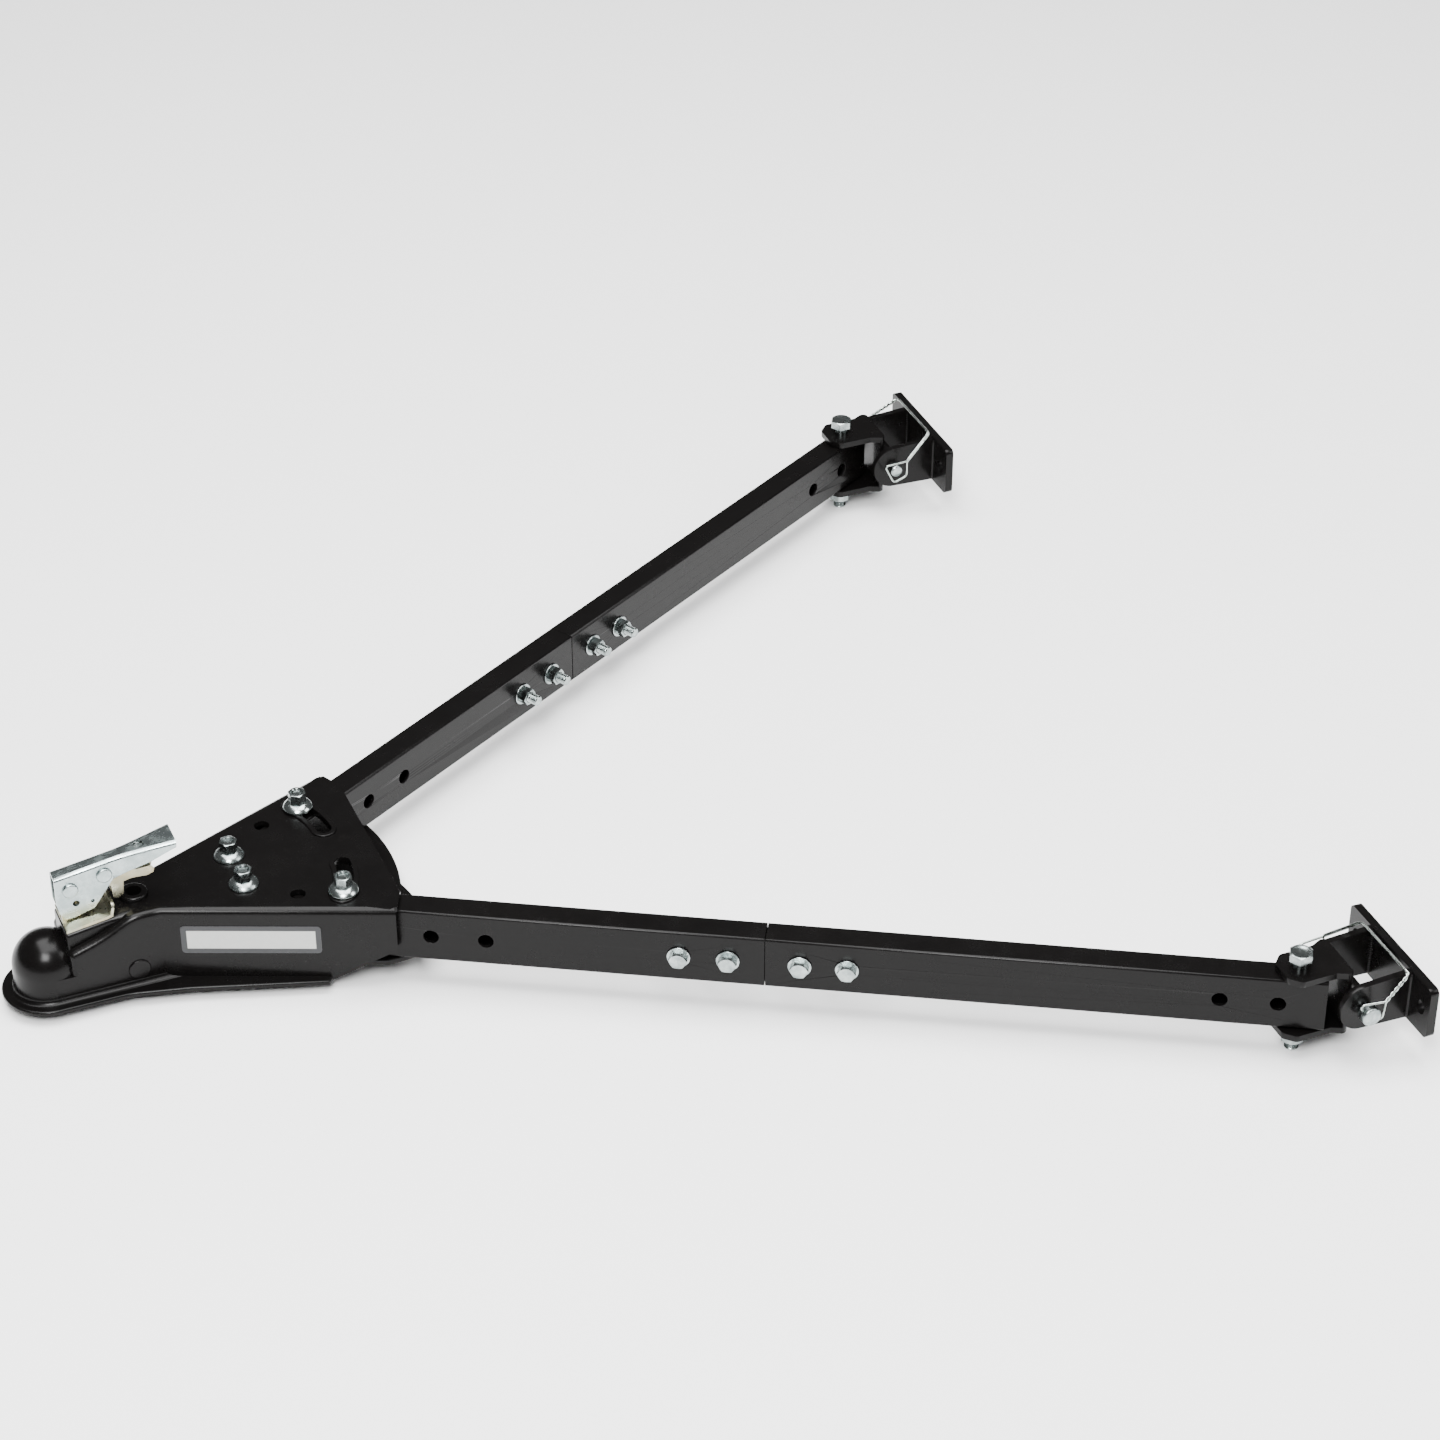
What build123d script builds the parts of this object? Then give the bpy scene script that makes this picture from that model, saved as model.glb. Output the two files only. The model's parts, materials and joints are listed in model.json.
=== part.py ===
from build123d import *
import os
from math import cos, radians, sin, tan

# Adjustable A-frame tow bar for a 2 inch ball, in millimetres, +Z up.
# It is drawn in a hub frame: X = 0 on the arm pivots and growing towards the towed vehicle,
# Y = 0 on the plane of symmetry, Z = 0 at mid height of the arms. save() then moves everything
# so that the origin is under the middle of the whole bar, on the surface that it stands on.
# side is -1 for the left half (-Y) and +1 for the right half (+Y), as seen by the driver in front.

SIDES = {"left": -1, "right": 1}

# arms: 2 x 1 inch rectangular steel tube
TUBE_H = 50.8
TUBE_W = 25.4
TUBE_WALL = 3.0
TUBE_CORNER = 2.2
ARM_ANGLE = 29.8
PIVOT_HALF = 22.0
ARM_FRONT = -16.0
SEAM = 455.0
SEAM_GAP = 0.6
ARM_END = 931.5
CLEVIS_AT = 906.5
SLOT_RADIUS = 88.0
SPARE_HOLES_FRONT = (165.5, 213.5)
SPARE_HOLES_REAR = (842.0, 891.0)
SPARE_HOLE_R = 6.75
SPLICE_BOLTS = (381.0, 423.5, 485.3, 526.0)
SLEEVE_FROM, SLEEVE_TO = 345.0, 562.0
SLEEVE_PLAY = 0.1

# 3/8 inch and 1/2 inch hardware
BOLT_R = 4.76
BOLT_AF = 14.3
HEAD_H = 6.2
NUT_H = 8.4
WASHER_R = 10.3
WASHER_T = 1.6
BIG_BOLT_R = 6.35
BIG_AF = 19.0
BIG_HEAD_H = 8.0
BIG_WASHER_R = 13.5
BIG_WASHER_T = 2.4
DOMED_R = 13.5
DOMED_H = 6.2
HEAD_NUT_H = 10.2
SPLICE_THREAD = 20.5
CLEVIS_NUT_H = 11.0
CLEVIS_STANDOUT = 8.0
RUNNING = 0.05
FREE = 0.4

# head: one pressed shell with a welded floor plate
SHELL_T = 5.5
PLATE_GAP = 1.0
TOP_Z = TUBE_H / 2 + PLATE_GAP + SHELL_T
SKIRT_Z = -44.0
LIP_T = 4.0
DOME_X = -173.2
DOME_Z = -16.6
DOME_R = 30.4
BALL_R = 25.4
SOCKET_R = BALL_R + 0.5
NECK_HALF = 30.4
NECK_FRONT = -158.8
FLARE_X = -77.0
FLARE = 22.8
WALL_END = 109.0
PLATE_END = 121.5
PLATE_REAR_HALF = 84.0
CHAMFER_FROM = (55.0, SKIRT_Z)
CHAMFER_TO = (103.0, -15.0)
TUNNEL_HALF = 22.0
LIP_R = 41.5
LIP_BEND_R = 70.0
LIP_ROOT_R = 5.0
FLOOR_T = 5.0
FLOOR_Z = -TUBE_H / 2 - PLATE_GAP
SLOT_W = 14.0
SLOT_ANGLES = (3.0, 33.0)
RIM_W = 4.5
RIM_H = 1.6
RIM_EDGE = 1.1
CLEARANCE_HOLES = (39.0, 53.5)
COLLAR_X = -92.0
COLLAR_R = 12.5
COLLAR_HOLE_R = 7.0
COLLAR_H = 4.6
COLLAR_EDGE = 2.4

# latch on the neck
LEVER_HALF = 8.0
LEVER_T = 2.2
LEVER_EDGE = 4.0
LEVER_PIVOT = (-147.5, 58.5)
LEVER_TOP = [(-160.5, 72.7), (-53.5, 88.5)]
LEVER_BELOW = [(-54.0, 82.8), (-76.0, 71.3), (-110.0, 59.7), (-128.0, 34.5), (-147.0, 29.0), (-153.5, 29.6),
               (-158.2, 35.4), (-160.4, 44.5)]
LEVER_FLARE = [(-109.5, LEVER_HALF), (-85.0, 10.2), (-53.0, 15.3)]
LEVER_HOLE_X = -83.5
LEVER_HOLE_R = 4.6
TRIGGER_PIVOT = (-117.1, 66.1)
TRIGGER_HALF = 5.5
TRIGGER_T = 2.0
SPRING_HALF = 3.3
RIVET_R = 4.0
RIVET_HEAD_R = 7.0
RIVET_HEAD_T = 2.4
LATCH_T = 2.4
UPRIGHT_OUT = 5.75
SADDLE_HALF = 20.5
SAFETY_R = 3.0
SAFETY_HOLE = (-143.6, 43.5)
GAUGE_R = 1.7
GAUGE_HOLE = (-129.2, 42.2)
STUD_X = -131.0
STUD_R = 3.175
STUD_AF = 11.1
CLAMP_PIVOT = (-100.0, -25.0)
CLAMP_PIN_R = 6.0
CLAMP_PIN_HEAD_R = 9.75
CLAMP_PIN_HEAD_T = 1.5
CLAMP_HALF = 15.0
CLAMP_TOP = -7.0

# rear brackets, around each clevis bolt
EAR_T = 6.0
EAR_HALF = 20.5
WEB_X = 33.0
WEB_T = 6.0
WEB_HALF = 25.0
WEB_CORNER_R = 4.5
PIN_X = 44.5
PIN_R = 6.35
PIN_HEAD_R = 8.8
PIN_HEAD = (-50.0, -40.0)
PIN_TAIL = 44.0
BARREL_R = 11.0
CHEEK_IN = 29.0
CHEEK_T = 6.0
CHEEK_R = 22.0
BASE_X = 89.0
BASE_T = 8.0
BASE_LENGTH = 132.0
BASE_HOLE_SPACING = 104.0
BASE_HOLE_R = 6.75
CLIP_WIRE_R = 1.15
CLIP_STRAND_R = 1.9
CLIP_LEG = 14.5
CLIP_GAP = 4.1
CLIP_LOOP = [(16.0, -3.0), (-3.0, -20.0), (-11.0, 3.0), (3.0, 9.5)]
# how each side's clip lies: its angle above the bracket's axis, its reach from the pin, and how far out
# its upper corners are over the pin's head and over its tail
CLIP_SET = {-1: (48.0, 48.0, 48.0, 29.0), 1: (45.0, 51.0, 35.0, 41.0)}

# the whole bar's front, rear and lowest points put the origin under its middle
CLEVIS_X = CLEVIS_AT * cos(radians(ARM_ANGLE))
CLEVIS_Y = PIVOT_HALF + CLEVIS_AT * sin(radians(ARM_ANGLE))
LOWEST_Z = -55.0
ORIGIN_X = (DOME_X - LIP_R + CLEVIS_X + BASE_X + BASE_T) / 2


def save(name, *solids):
    """Write one node, moved from the hub frame to the part's own frame."""
    moved = [Pos(-ORIGIN_X, 0, -LOWEST_Z) * s for s in solids]
    shape = moved[0] if len(moved) == 1 else Compound(children=moved)
    export_step(shape, f"parts/{name}.step")


def one(shape):
    """The single solid that a boolean left."""
    solids = shape.solids()
    assert len(solids) == 1, len(solids)
    return solids[0]


def prism_y(points, y_from, y_to):
    """Extrude an outline given as (x, z) points along Y."""
    face = make_face(Polyline(*[(x, 0, z) for x, z in points], close=True))
    solid = extrude(face, amount=y_to - y_from, dir=(0, 1, 0))
    return Pos(0, y_from, 0) * solid


def prism_z(points, z_from, z_to):
    """Extrude an outline given as (x, y) points along Z."""
    face = make_face(Polyline(*points, close=True))
    return Pos(0, 0, z_from) * extrude(face, amount=z_to - z_from, dir=(0, 0, 1))


def rod_z(radius, z_from, z_to, x=0.0, y=0.0):
    return Pos(x, y, (z_from + z_to) / 2) * Cylinder(radius, z_to - z_from)


def rod_y(radius, y_from, y_to, x=0.0, z=0.0):
    return Pos(x, (y_from + y_to) / 2, z) * Rot(90, 0, 0) * Cylinder(radius, y_to - y_from)


def block(x, y, z):
    """A box from three (low, high) pairs."""
    middle = [(a + b) / 2 for a, b in (x, y, z)]
    return Pos(*middle) * Box(x[1] - x[0], y[1] - y[0], z[1] - z[0])


def mirrored(points):
    """Close an outline given on its +Y half."""
    return list(points) + [(x, -y) for x, y in reversed(points)]


# ---------------------------------------------------------------- fasteners, on a local +Z axis

def hexagon(across_flats, height):
    """A hexagonal prism standing on Z = 0, its top corners turned off."""
    corner = across_flats / 2 / cos(radians(30))
    prism = extrude(RegularPolygon(corner, 6), amount=height)
    turned = Pos(0, 0, height / 2) * Cone(corner + height * 0.9, corner - height * 0.1, height)
    return prism & turned


def bolt(radius, across_flats, head_height, shank):
    """Head above Z = 0, shank below it."""
    body = hexagon(across_flats, head_height) + rod_z(radius, -shank, 0)
    tip = body.edges().filter_by(GeomType.CIRCLE).group_by(Axis.Z)[0]
    return one(chamfer(tip, radius * 0.16))


def nut(radius, across_flats, height):
    return one(hexagon(across_flats, height) - rod_z(radius, -1, height + 1))


def washer(outer, inner, thickness):
    ring = rod_z(outer, 0, thickness) - rod_z(inner, -1, thickness + 1)
    rims = ring.edges().filter_by(GeomType.CIRCLE).group_by(SortBy.RADIUS)[-1]
    return one(chamfer(rims, thickness * 0.2))


def domed_washer():
    """A saucer-shaped washer, flat below and crowned above."""
    outline = Polyline((DOMED_R, 0), (DOMED_R, 1.4))
    crown = ThreePointArc((DOMED_R, 1.4), (DOMED_R * 0.78, 4.6), (DOMED_R * 0.5, DOMED_H))
    inner = Polyline((DOMED_R * 0.5, DOMED_H), (BOLT_R + FREE, DOMED_H), (BOLT_R + FREE, 0), (DOMED_R, 0))
    face = Plane.XZ * make_face(outline + crown + inner)
    return one(revolve(face, Axis.Z))


def head_stack(base_z, bottom_z):
    """Nut on a domed washer above the head, washer and bolt head below it: the four pieces."""
    top = Pos(0, 0, base_z)
    nut_seat = base_z + DOMED_H
    end = nut_seat + HEAD_NUT_H - 1.8
    under = bottom_z - WASHER_T
    screw = Pos(0, 0, under) * Rot(180, 0, 0) * bolt(BOLT_R, BOLT_AF, HEAD_H, end - under)
    return (
        screw,
        top * domed_washer(),
        Pos(0, 0, nut_seat) * nut(BOLT_R, BOLT_AF, HEAD_NUT_H),
        Pos(0, 0, under) * washer(WASHER_R, BOLT_R + FREE, WASHER_T),
    )


# ---------------------------------------------------------------- head

def flare_half(x, inset=0.0):
    """Half width of the head's flared part at x, its walls moved in by inset."""
    return NECK_HALF + (x - FLARE_X) * tan(radians(FLARE)) - inset / cos(radians(FLARE))


def head_walls(inset, front, rear):
    """Plan outline between the neck's front and the walls' rear end, moved in by inset."""
    corner = FLARE_X + inset * tan(radians(FLARE / 2))
    half = NECK_HALF - inset
    return mirrored([(front, half), (corner, half), (rear, flare_half(rear, inset))])


def shoulder_profile(drop, front, rear):
    """Side view of the neck and head, its top line lowered by drop."""
    shoulder = Spline(
        (front, 5.9 - drop),
        (-140.0, 12.6 - drop),
        (-120.0, 21.5 - drop),
        (-104.0, 29.8 - drop),
        (-86.0, TOP_Z - drop),
        tangents=[(1, 0.42), (1, 0)],
    )
    lower = Polyline(
        (-86.0, TOP_Z - drop),
        (rear, TOP_Z - drop),
        (rear, CHAMFER_TO[1] - 8 * drop),
        (CHAMFER_TO[0], CHAMFER_TO[1] - 8 * drop),
        (CHAMFER_FROM[0], CHAMFER_FROM[1] - 8 * drop),
        (front, SKIRT_Z - 8 * drop),
        (front, 5.9 - drop),
    )
    return Plane.XZ * make_face(shoulder + lower)


def head_body(inset):
    """Neck and flared head as one solid; inset 0 is outside, the wall's thickness is inside."""
    front = NECK_FRONT + inset
    rear = WALL_END + 3 * inset
    plan = prism_z(head_walls(inset, front, rear), -100, 60)
    side = extrude(shoulder_profile(inset, front, rear), amount=150, both=True)
    return one(plan & side)


def tunnel(inset):
    """Raised middle of the neck that carries the latch."""
    slope = [
        (NECK_FRONT + inset + 0.8, -20 - inset),
        (NECK_FRONT + inset + 0.8, 23.0 - inset),
        (-121.0, 28.6 - inset),
        (-97.0, TOP_Z - inset),
        (-60.0, TOP_Z - inset),
        (-60.0, -20 - inset),
    ]
    half = TUNNEL_HALF - inset
    return prism_y(slope, -half, half)


def dome(radius, bottom):
    ball = Pos(DOME_X, 0, DOME_Z) * Sphere(radius)
    return ball + rod_z(radius, bottom, DOME_Z, x=DOME_X)


def lip():
    """Rolled-out lower edge around the socket, the neck and the flared walls."""
    round_part = Pos(DOME_X, 0) * Circle(LIP_R)
    rear = [(51, 91.5), (57, flare_half(57) - 2)]
    sides = mirrored([(DOME_X, LIP_R), (-112, LIP_R + 0.6), (-62, 54.3), *rear])
    face = make_face(Polyline(*sides, close=True)) + round_part
    bends = face.vertices().filter_by(lambda v: -120 < v.X < -50)
    face = fillet(bends, LIP_BEND_R)
    slab = Pos(0, 0, SKIRT_Z) * extrude(face, amount=LIP_T)
    upper = slab.edges().group_by(Axis.Z)[-1]
    return fillet(upper, LIP_T * 0.45)


def round_lip_root(body):
    """Fill the corner between the lip and the walls of the dome and neck."""
    root = body.edges().filter_by(lambda e: abs(e.center().Z - SKIRT_Z - LIP_T) < 0.05)
    root = root.filter_by(lambda e: e.length > 60 and e.bounding_box().max.X < FLARE_X + 1)
    root = root.filter_by(lambda e: all(abs(v.Y) < NECK_HALF + 0.1 for v in e.vertices()))
    return fillet(root, LIP_ROOT_R)


def coupler_shell():
    body = head_body(0)
    crease = body.edges().filter_by(lambda e: e.center().Z > 8 and abs(e.center().Y) > 20)
    crease = crease.filter_by(lambda e: e.bounding_box().size.X > 20)
    body = fillet(crease, 6.0)
    fronts = body.edges().filter_by(Axis.Z).group_by(Axis.X)[0]
    body = fillet(fronts, 5.0)
    ridge = tunnel(0)
    high = ridge.edges().filter_by(lambda e: e.center().Z > 20)
    ridge = fillet(high.filter_by(lambda e: e.bounding_box().size.X > 5), 5.0)
    high = ridge.edges().filter_by(lambda e: e.center().Z > 20)
    ridge = fillet(high.filter_by(lambda e: e.center().X < NECK_FRONT + 2), 2.0)
    rear_plate = prism_z(
        mirrored([(80, flare_half(80) - 8), (105, 103.5), (112, 103.5), (PLATE_END, PLATE_REAR_HALF)]),
        TOP_Z - SHELL_T, TOP_Z)
    cheeks = block((DOME_X, NECK_FRONT + 8), (-NECK_HALF, NECK_HALF), (SKIRT_Z, DOME_Z))
    shell = round_lip_root(body + dome(DOME_R, SKIRT_Z) + cheeks + lip()) + ridge + rear_plate
    half = NECK_HALF - SHELL_T
    throat = block((DOME_X, NECK_FRONT + 10), (-half, half), (SKIRT_Z - 20, DOME_Z - 2))
    shell -= head_body(SHELL_T) + tunnel(SHELL_T) + dome(SOCKET_R, SKIRT_Z - 20) + throat
    for side in SIDES.values():
        slot, rim = arc_slot(side)
        raised = Pos(0, 0, TOP_Z - 0.5) * extrude(rim, amount=RIM_H + 0.5)
        shell += fillet(raised.edges().group_by(Axis.Z)[-1], RIM_EDGE)
        shell -= Pos(0, 0, TOP_Z - SHELL_T - 1) * extrude(slot, amount=SHELL_T + 4)
        shell -= rod_z(BOLT_R + FREE, 20, 40, 0, side * PIVOT_HALF)
        shell -= rod_z(SPARE_HOLE_R, 20, 40, CLEARANCE_HOLES[0], side * CLEARANCE_HOLES[1])
    shell -= rod_y(CLAMP_PIN_R, -40, 40, *CLAMP_PIVOT)
    shell -= rod_z(STUD_R + FREE, 10, 40, STUD_X)
    collar = rod_z(COLLAR_R, 27, TOP_Z + COLLAR_H, COLLAR_X)
    shell += fillet(collar.edges().group_by(Axis.Z)[-1], COLLAR_EDGE)
    shell -= rod_z(COLLAR_HOLE_R, 20, 45, COLLAR_X)
    return one(shell)


def arc_slot(side):
    """Faces of one arm's adjustment slot and of the raised pad around it."""
    start, end = SLOT_ANGLES
    if side < 0:
        start, end = -end, -start
    path = CenterArc((0, side * PIVOT_HALF), SLOT_RADIUS, start, end - start)
    slot = SlotArc(path, SLOT_W)
    rim = SlotArc(path, SLOT_W + 2 * RIM_W)
    return slot, rim


def head_floor():
    """Lower plate welded between the walls; its rear edge is two shallow arcs."""
    inside = SHELL_T
    half = flare_half(WALL_END - 1, inside) - 2.0
    front = -62.0
    narrow = (front, flare_half(front, inside))
    wide = (WALL_END - 6, flare_half(WALL_END - 6, inside))
    outline = Polyline((front, 0), narrow, wide, (WALL_END + 1, half), (146, half - 2))
    outline += ThreePointArc((146, half - 2), (153.5, 50), (147.5, 0))
    face = make_face(outline + Line((147.5, 0), (front, 0)))
    face += mirror(face, Plane.XZ)
    plate = Pos(0, 0, FLOOR_Z - FLOOR_T) * extrude(face, amount=FLOOR_T)
    for side in SIDES.values():
        slot, _ = arc_slot(side)
        plate -= Pos(0, 0, FLOOR_Z - FLOOR_T - 1) * extrude(slot, amount=FLOOR_T + 2)
        plate -= rod_z(BOLT_R + FREE, -40, -20, 0, side * PIVOT_HALF)
    return one(plate)


# ---------------------------------------------------------------- latch and ball clamp

def latch_bracket():
    """Two uprights on a saddle that follows the tunnel's slope, with an upturned catch flange behind."""
    foot = [(-157.0, 23.2), (-121.0, 28.65), (-116.0, 29.7), (-116.0, 32.2), (-121.0, 31.2), (-157.0, 25.8)]
    catch = [(-118.6, 29.2), (-116.0, 29.7), (-113.4, 42.0), (-115.8, 42.6)]
    bracket = prism_y(foot, -SADDLE_HALF, SADDLE_HALF)
    flange = prism_y(catch, -SADDLE_HALF, SADDLE_HALF)
    corners = flange.edges().filter_by(lambda e: abs(e.center().Y) < 21 and e.center().Z > 41 and e.length < 4)
    bracket += fillet(corners, 5.0)
    upright = [(-157.0, 24.0), (-156.5, 62.0), (-152.0, 69.5), (-143.0, 69.5), (-141.0, 62.0), (-141.0, 27.5)]
    for side in SIDES.values():
        low, high = sorted((side * (UPRIGHT_OUT - LATCH_T), side * UPRIGHT_OUT))
        bracket += prism_y(upright, low, high)
    bracket -= rod_y(RIVET_R + RUNNING, -30, 30, *LEVER_PIVOT)
    bracket -= rod_y(SAFETY_R, -30, 30, *SAFETY_HOLE)
    bracket -= rod_z(STUD_R + FREE, 10, 50, STUD_X)
    return one(bracket)


def lever_body(inset):
    """The lever's outer form, or the hollow inside it when its top and sides are moved in by inset."""
    flare = [(x, half - inset) for x, half in LEVER_FLARE]
    sides = Line((-170.0, flare[0][1]), flare[0]) + Spline(*flare, tangents=[(1, 0), (1, 0.17)])
    plan = make_face(sides + Polyline(flare[-1], (flare[-1][0], 0), (-170, 0), (-170, flare[0][1])))
    plan = extrude(plan + mirror(plan, Plane.XZ), amount=120)
    top = Line(*[(x, z - inset) for x, z in LEVER_TOP])
    if inset:
        front, rear = LEVER_TOP[0][0] - 10, LEVER_TOP[-1][0] - inset
        below = [(rear + 9, 10), (front, 10), (front, LEVER_TOP[0][1] - inset - 1.5)]
    else:
        below = LEVER_BELOW
    profile = Plane.XZ * make_face(top + Polyline(top @ 1, *below, top @ 0))
    body = plan & extrude(profile, amount=30, both=True)
    return one(body - block((rear, rear + 20), (-30, 30), (0, 120)) if inset else body)


def latch_lever():
    """Bent steel channel, open in front and below, with a round-shouldered top and a wide handle."""
    outer = lever_body(0)
    shoulders = outer.edges().filter_by(lambda e: e.length > 30 and e.center().Z > 74 and abs(e.center().Y) > 7)
    lever = fillet(shoulders, LEVER_EDGE) - lever_body(LEVER_T)
    for place in (LEVER_PIVOT, TRIGGER_PIVOT):
        lever -= rod_y(RIVET_R + RUNNING, -30, 30, *place)
    lever -= rod_y(SAFETY_R, -30, 30, *SAFETY_HOLE)
    lever -= rod_y(GAUGE_R, -30, 30, *GAUGE_HOLE)
    lever -= rod_z(LEVER_HOLE_R, 70, 110, LEVER_HOLE_X)
    return one(lever)


def rivet(centre, half):
    """A round-headed rivet along Y, its heads outside the given half length."""
    x, z = centre
    body = rod_y(RIVET_R, -half, half, x, z)
    for side in SIDES.values():
        low, high = sorted((side * half, side * (half + RIVET_HEAD_T)))
        head = rod_y(RIVET_HEAD_R, low, high, x, z)
        rims = head.edges().filter_by(GeomType.CIRCLE).sort_by(Axis.Y)
        body += fillet(rims[-1 if side > 0 else 0], RIVET_HEAD_T * 0.65)
    return one(body)


def latch_trigger():
    """Finger piece inside the lever: two side plates, a hook below and a finger tab behind."""
    side_plate = [
        (-123.9, 64.8), (-117.9, 72.8), (-109.9, 70.3), (-87.9, 62.3), (-75.9, 62.8), (-72.9, 58.8), (-73.9, 55.3),
        (-79.9, 53.3), (-91.9, 54.8), (-100.4, 52.8), (-101.4, 40.3), (-106.4, 37.0), (-110.7, 38.8), (-111.4, 50.8),
        (-120.9, 58.8),
    ]
    finger = [(-95.9, 57.3), (-74.4, 58.3), (-74.4, 55.6), (-79.9, 53.6), (-95.9, 54.4)]
    hook = [(-109.7, 39.9), (-106.1, 37.7), (-101.9, 40.8), (-104.4, 42.8)]
    trigger = prism_y(finger, -TRIGGER_HALF, TRIGGER_HALF) + prism_y(hook, -TRIGGER_HALF, TRIGGER_HALF)
    for side in SIDES.values():
        low, high = sorted((side * (TRIGGER_HALF - TRIGGER_T), side * TRIGGER_HALF))
        trigger += prism_y(side_plate, low, high)
    trigger -= rod_y(RIVET_R + RUNNING, -30, 30, *TRIGGER_PIVOT)
    return one(trigger)


def clamp_stud():
    """Threaded stud and nut that lift the clamp against the ball."""
    x = STUD_X
    stud = rod_z(STUD_R, CLAMP_TOP + 0.3, 52, x) + Pos(x, 0, 38.5) * hexagon(STUD_AF, NUT_H)
    return one(stud)


def ball_clamp():
    """Jaw behind and under the ball, turning on a pin through the neck."""
    x, z = CLAMP_PIVOT
    outline = [(-156.0, -37.0), (-158.0, -30.0), (-140.0, CLAMP_TOP), (-118.0, CLAMP_TOP), (-94.0, -15.5),
               (-91.0, -25.0), (-96.0, -35.0), (-120.0, -39.0)]
    jaw = prism_y(outline, -CLAMP_HALF, CLAMP_HALF)
    jaw -= Pos(DOME_X, 0, DOME_Z) * Sphere(SOCKET_R + 0.3)
    jaw -= rod_y(CLAMP_PIN_R + RUNNING, -30, 30, x, z)
    return one(jaw)


def clamp_pin():
    """Pin across the neck with a low round head on each wall."""
    outside = NECK_HALF + CLAMP_PIN_HEAD_T
    pin = rod_y(CLAMP_PIN_R - 0.02, -outside, outside, *CLAMP_PIVOT)
    for side in SIDES.values():
        low, high = sorted((side * NECK_HALF, side * outside))
        head = rod_y(CLAMP_PIN_HEAD_R, low, high, *CLAMP_PIVOT)
        rims = head.edges().filter_by(GeomType.CIRCLE).sort_by(Axis.Y)
        pin += fillet(rims[-1 if side > 0 else 0], CLAMP_PIN_HEAD_T * 0.6)
    return one(pin)


# ---------------------------------------------------------------- arms

def arm_place(side):
    return Pos(0, side * PIVOT_HALF, 0) * Rot(0, 0, side * ARM_ANGLE)


def tube(x_from, x_to, height, width, wall, corner):
    """Rectangular tube along X."""
    section = RectangleRounded(width, height, corner) - RectangleRounded(
        width - 2 * wall, height - 2 * wall, max(corner - wall, 0.8))
    return Pos(x_from, 0, 0) * extrude(Plane.YZ * section, amount=x_to - x_from)


def cross_holes(solid, places, radius):
    for x in places:
        solid -= rod_y(radius, -30, 30, x)
    return solid


def front_tube():
    arm = tube(ARM_FRONT, SEAM, TUBE_H, TUBE_W, TUBE_WALL, TUBE_CORNER)
    arm -= rod_z(BOLT_R + RUNNING, -40, 40, 0)
    arm -= rod_z(BOLT_R + RUNNING, -40, 40, SLOT_RADIUS)
    arm = cross_holes(arm, SPARE_HOLES_FRONT, SPARE_HOLE_R)
    return one(cross_holes(arm, SPLICE_BOLTS[:2], BOLT_R + RUNNING))


def rear_tube():
    arm = tube(SEAM + SEAM_GAP, ARM_END, TUBE_H, TUBE_W, TUBE_WALL, TUBE_CORNER)
    arm -= rod_z(BIG_BOLT_R + RUNNING, -40, 40, CLEVIS_AT)
    arm = cross_holes(arm, SPARE_HOLES_REAR, SPARE_HOLE_R)
    return one(cross_holes(arm, SPLICE_BOLTS[2:], BOLT_R + RUNNING))


def splice_sleeve():
    inner = 2 * (TUBE_WALL + SLEEVE_PLAY)
    sleeve = tube(SLEEVE_FROM, SLEEVE_TO, TUBE_H - inner, TUBE_W - inner, TUBE_WALL, 0.9)
    return one(cross_holes(sleeve, SPLICE_BOLTS, BOLT_R + RUNNING))


def splice_stack(side, x):
    """Bolt from the arm's outer face, washers on both faces and a nut inside the A."""
    outward = Pos(x, side * TUBE_W / 2, 0) * Rot(-90 * side, 0, 0)
    inward = Pos(x, -side * TUBE_W / 2, 0) * Rot(90 * side, 0, 0)
    shank = TUBE_W + WASHER_T + SPLICE_THREAD
    return (
        outward * Pos(0, 0, WASHER_T) * bolt(BOLT_R, BOLT_AF, HEAD_H, shank),
        outward * washer(WASHER_R, BOLT_R + FREE, WASHER_T),
        inward * washer(WASHER_R, BOLT_R + FREE, WASHER_T),
        inward * Pos(0, 0, WASHER_T) * nut(BOLT_R, BOLT_AF, NUT_H),
    )


# ---------------------------------------------------------------- rear brackets

def bracket_place(side):
    return Pos(CLEVIS_X, side * CLEVIS_Y, 0)


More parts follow.
